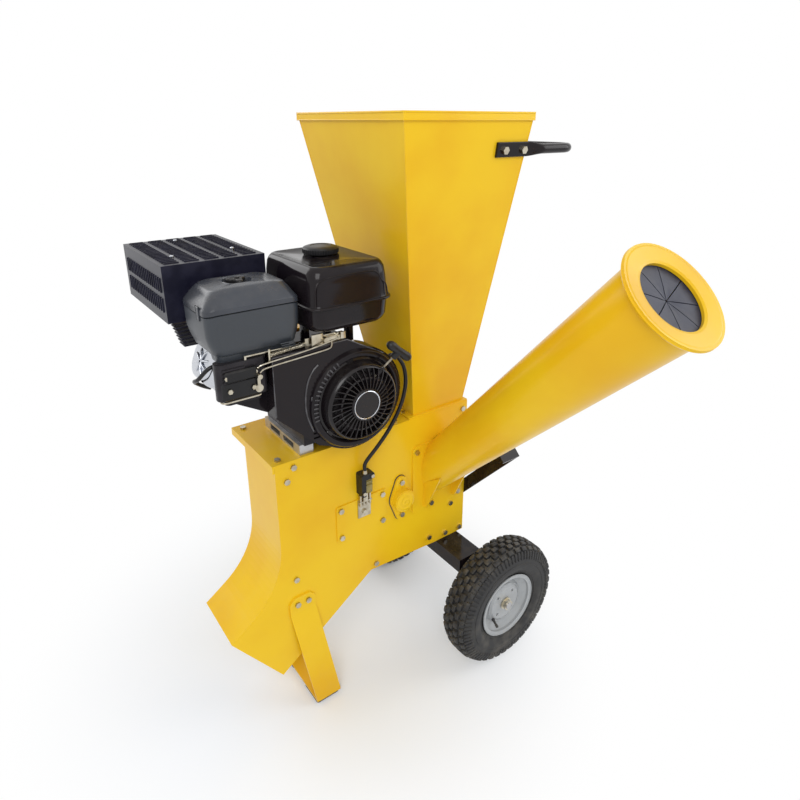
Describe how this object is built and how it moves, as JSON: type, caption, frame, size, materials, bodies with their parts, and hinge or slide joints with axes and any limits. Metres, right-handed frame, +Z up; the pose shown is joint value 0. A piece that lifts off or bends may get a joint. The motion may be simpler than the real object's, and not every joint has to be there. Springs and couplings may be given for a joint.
{
  "type": "wood chipper",
  "caption": "Petrol wood chipper on two wheels: square hopper above, slanted feed cone, belt-driven rotor with knives and hammers, sloping discharge chute and push handle.",
  "frame": {"origin": "on the floor, under the middle of the whole machine's length and depth", "axes": "+Z up; +X from the discharge chute to the wheels, across the feed cone's side; +Y from the feed cone to the far, belt side"},
  "size_m": [0.938, 1.0358, 1.428],
  "materials": {
    "yellow_paint": "glossy warm yellow powder coat",
    "black_paint": "gloss black paint",
    "rubber": "dull slate black",
    "tyre_rubber": "dusty black",
    "rim_paint": "silver grey paint",
    "steel": "turned bright steel",
    "tool_steel": "ground hard steel",
    "engine_casting": "dark painted casting",
    "rail_aluminium": "as cast",
    "bright_cover": "bright pressed steel",
    "black_plastic": "satin black moulding",
    "grey_plastic": "satin dark grey moulding",
    "rope": "braided cord",
    "cable": "satin black sleeve",
    "muffler_steel": "heat stained sheet",
    "zinc": "passivated zinc"
  },
  "bodies": {
    "chassis": {"near_side_plate": "yellow_paint", "far_side_plate": "yellow_paint", "discharge_panel": "yellow_paint", "underside_panel": "yellow_paint", "rear_panel": "yellow_paint", "deck": "yellow_paint", "access_cover": "yellow_paint", "hopper": "yellow_paint", "push_handle": "black_paint", "feed_cone": "yellow_paint", "mouth_ring": "yellow_paint", "rubber_curtain": "rubber", "cone_brace": "black_paint", "leg_frame": "yellow_paint", "foot_pads": "rubber", "axle_beam": "black_paint", "stub_axles": "steel", "anvil": "steel", "near_bearing": "yellow_paint", "far_bearing": "black_paint", "drive_belts": "rubber", "belt_guard": "yellow_paint", "guard_standoffs": "steel", "engine_rails": "rail_aluminium", "crankcase": "engine_casting", "valve_cover": "bright_cover", "blower_housing": "black_paint", "recoil_cover": "black_paint", "starter_rope": "rope", "fuel_tank": "black_paint", "air_cleaner": "grey_plastic", "carburettor": "engine_casting", "control_linkage": "zinc", "muffler": "muffler_steel", "muffler_guard": "black_paint", "stop_switch": "black_plastic", "switch_key": "zinc", "stop_cable": "cable", "fasteners": "zinc"},
    "near_wheel": {"near_tyre": "tyre_rubber", "near_rim": "rim_paint"},
    "far_wheel": {"far_tyre": "tyre_rubber", "far_rim": "rim_paint"},
    "rotor": {"rotor_shaft": "steel", "rotor_disc": "steel", "chipper_knives": "tool_steel", "hammer_pins": "steel", "rotor_pulley": "black_paint"},
    "hammer_1": {"hammers_1": "tool_steel"},
    "hammer_2": {"hammers_2": "tool_steel"},
    "hammer_3": {"hammers_3": "tool_steel"},
    "hammer_4": {"hammers_4": "tool_steel"},
    "crank": {"crankshaft": "steel", "engine_pulley": "black_paint", "flywheel": "engine_casting"},
    "starter": {"starter_grip": "black_plastic"},
    "filler_cap": {"fuel_cap": "black_plastic"},
    "cleaner_knob": {"air_knob": "black_plastic"},
    "throttle": {"throttle_lever": "zinc"},
    "choke": {"choke_lever": "zinc"}
  },
  "joints": [
    {"name": "near_wheel_spin", "type": "hinge", "parent": "chassis", "child": "near_wheel", "pos_m": [0.235, -0.02708, 0.175], "axis": [0, 1, 0], "continuous": true},
    {"name": "far_wheel_spin", "type": "hinge", "parent": "chassis", "child": "far_wheel", "pos_m": [0.235, 0.45492, 0.175], "axis": [0, 1, 0], "continuous": true},
    {"name": "rotor_spin", "type": "hinge", "parent": "chassis", "child": "rotor", "pos_m": [0.016, 0.21392, 0.5], "axis": [0, 1, 0], "continuous": true},
    {"name": "crank_spin", "type": "hinge", "parent": "chassis", "child": "crank", "pos_m": [-0.138, 0.21392, 0.842], "axis": [0, 1, 0], "continuous": true},
    {"name": "hammer_1_swing", "type": "hinge", "parent": "rotor", "child": "hammer_1", "pos_m": [0.0952, 0.21392, 0.5792], "axis": [0, 1, 0], "range_deg": [-60, 60]},
    {"name": "hammer_2_swing", "type": "hinge", "parent": "rotor", "child": "hammer_2", "pos_m": [-0.0632, 0.21392, 0.5792], "axis": [0, 1, 0], "range_deg": [-60, 60]},
    {"name": "hammer_3_swing", "type": "hinge", "parent": "rotor", "child": "hammer_3", "pos_m": [-0.0632, 0.21392, 0.4208], "axis": [0, 1, 0], "range_deg": [-60, 60]},
    {"name": "hammer_4_swing", "type": "hinge", "parent": "rotor", "child": "hammer_4", "pos_m": [0.0952, 0.21392, 0.4208], "axis": [0, 1, 0], "range_deg": [-60, 60]},
    {"name": "starter_pull", "type": "slide", "parent": "chassis", "child": "starter", "axis": [0.604, -0.342, 0.7198], "range_m": [0, 0.5], "stiffness_N_per_m": 2},
    {"name": "filler_cap_turn", "type": "hinge", "parent": "chassis", "child": "filler_cap", "pos_m": [-0.148, 0.19492, 1.15], "axis": [0, 0, 1], "range_deg": [0, 90]},
    {"name": "cleaner_knob_turn", "type": "hinge", "parent": "chassis", "child": "cleaner_knob", "pos_m": [-0.352, 0.15992, 1.12], "axis": [0, 0, 1], "range_deg": [0, 360]},
    {"name": "throttle_turn", "type": "hinge", "parent": "chassis", "child": "throttle", "pos_m": [-0.174, 0.08792, 0.992], "axis": [0, 1, 0], "range_deg": [0, 22]},
    {"name": "choke_turn", "type": "hinge", "parent": "chassis", "child": "choke", "pos_m": [-0.356, 0.08792, 0.924], "axis": [0, 1, 0], "range_deg": [-40, 0]}
  ],
  "couplings": [
    {"joint": "crank_spin", "follows": "rotor_spin", "ratio": 1.4444}
  ]
}
